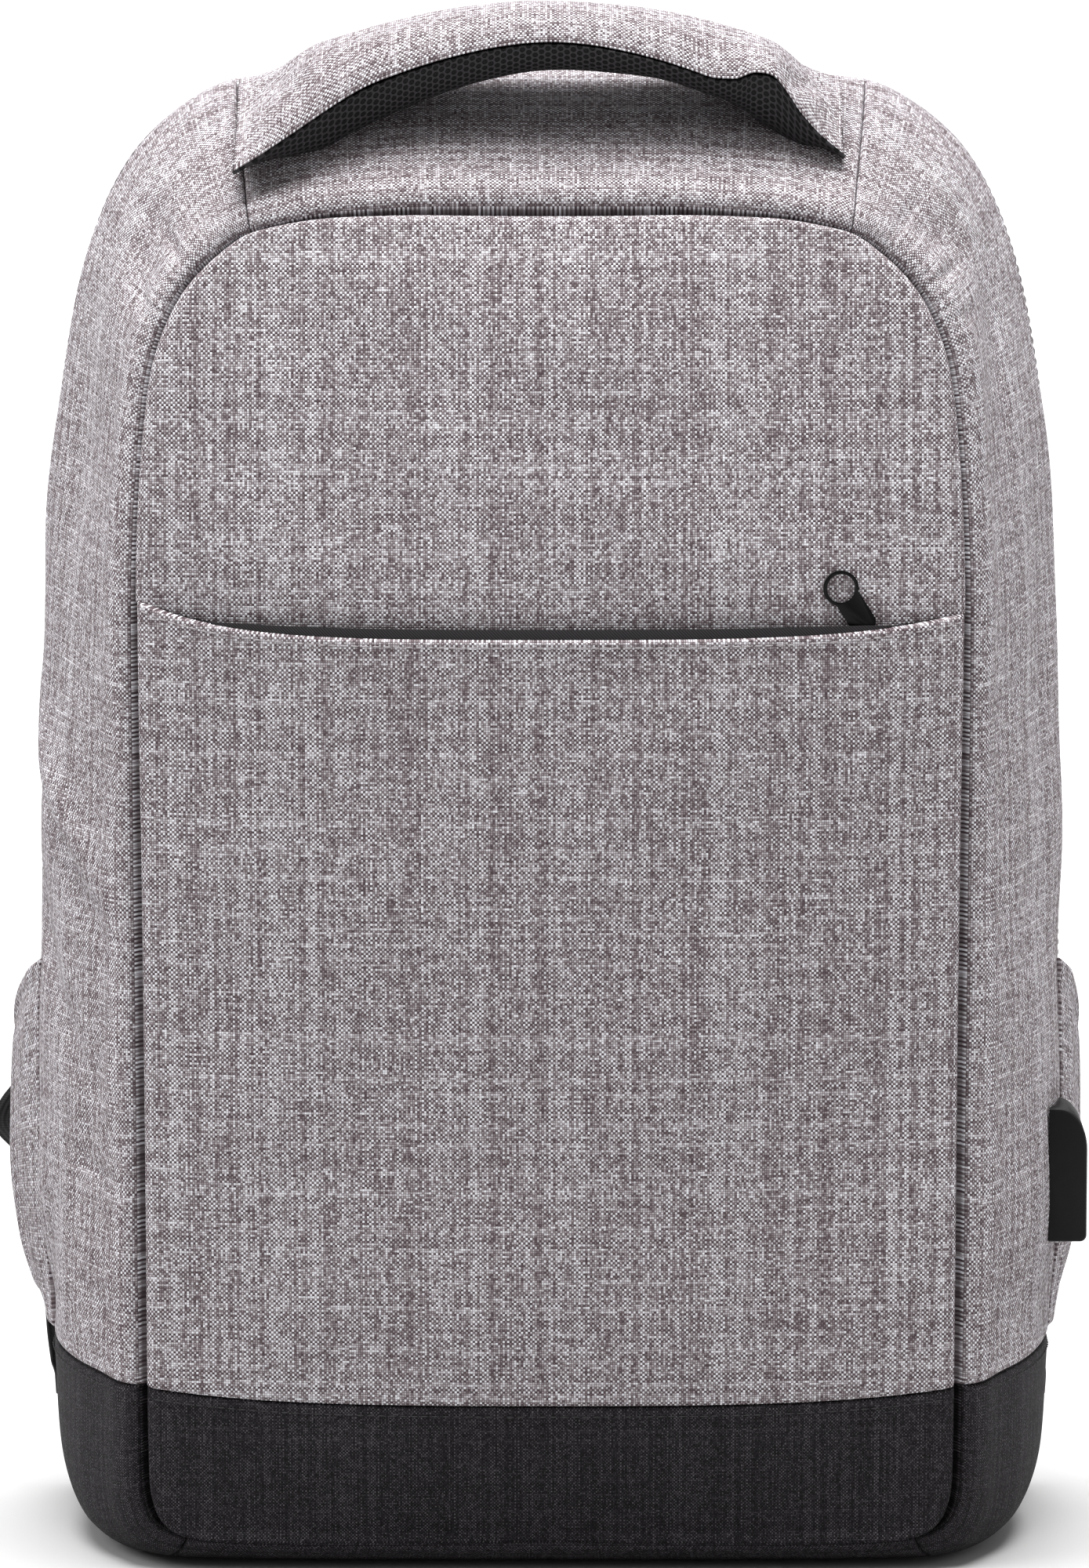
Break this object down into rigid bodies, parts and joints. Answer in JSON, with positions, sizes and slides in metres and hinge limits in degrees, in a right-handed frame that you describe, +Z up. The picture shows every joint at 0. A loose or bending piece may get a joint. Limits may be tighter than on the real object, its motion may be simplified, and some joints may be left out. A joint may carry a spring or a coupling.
{
  "type": "anti theft backpack",
  "caption": "Slim laptop backpack in grey heather cloth with a black base, a padded top handle, a front zip pocket, side pockets, a charging socket and a main zip on its back.",
  "frame": {"origin": "on the flat base, under the middle of the bag", "axes": "+Z up to the handle, -Y out of the front panel, +X to the right as the front is seen"},
  "size_m": [0.3259, 0.1858, 0.4508],
  "materials": {
    "heather_cloth": "grey heather plain weave",
    "black_cloth": "black plain weave",
    "zip_tape": "black twill tape",
    "air_mesh": "black air mesh",
    "webbing": "black ribbed webbing",
    "zip_metal": "dark satin plate",
    "socket_metal": "plain",
    "black_plastic": "soft matte"
  },
  "bodies": {
    "bag": {"front_upper_panel": "heather_cloth", "pocket_panel": "heather_cloth", "pocket_base_panel": "black_cloth", "pocket_tape_lower": "zip_tape", "pocket_tape_upper": "zip_tape", "pocket_zip_slider": "zip_metal", "top_gusset": "heather_cloth", "base_panel": "black_cloth", "side_gusset_left": "heather_cloth", "side_gusset_right": "heather_cloth", "base_gusset_left": "black_cloth", "base_gusset_right": "black_cloth", "side_pocket_left": "heather_cloth", "side_pocket_right": "heather_cloth", "rear_gusset": "heather_cloth", "usb_housing": "black_plastic", "usb_shell": "socket_metal", "usb_tongue": "black_plastic", "main_zip_tape": "zip_tape", "main_zip_slider_left": "zip_metal", "main_zip_slider_right": "zip_metal", "back_panel": "air_mesh", "strap_yoke": "black_cloth", "shoulder_strap_left": "heather_cloth", "shoulder_strap_right": "heather_cloth", "strap_webbing_left": "webbing", "strap_webbing_right": "webbing", "ladder_buckle_left": "black_plastic", "ladder_buckle_right": "black_plastic", "anchor_patch_left": "black_cloth", "anchor_patch_right": "black_cloth", "handle_pad": "heather_cloth", "handle_mesh": "air_mesh"},
    "zip_pull": {"pocket_zip_pull": "zip_metal"}
  },
  "joints": [
    {"name": "zip_pull_swing", "type": "hinge", "parent": "bag", "child": "zip_pull", "pos_m": [0.09193, -0.06234, 0.27357], "axis": [0.8408, 0.0782, 0.5356], "range_deg": [0, 12]}
  ]
}
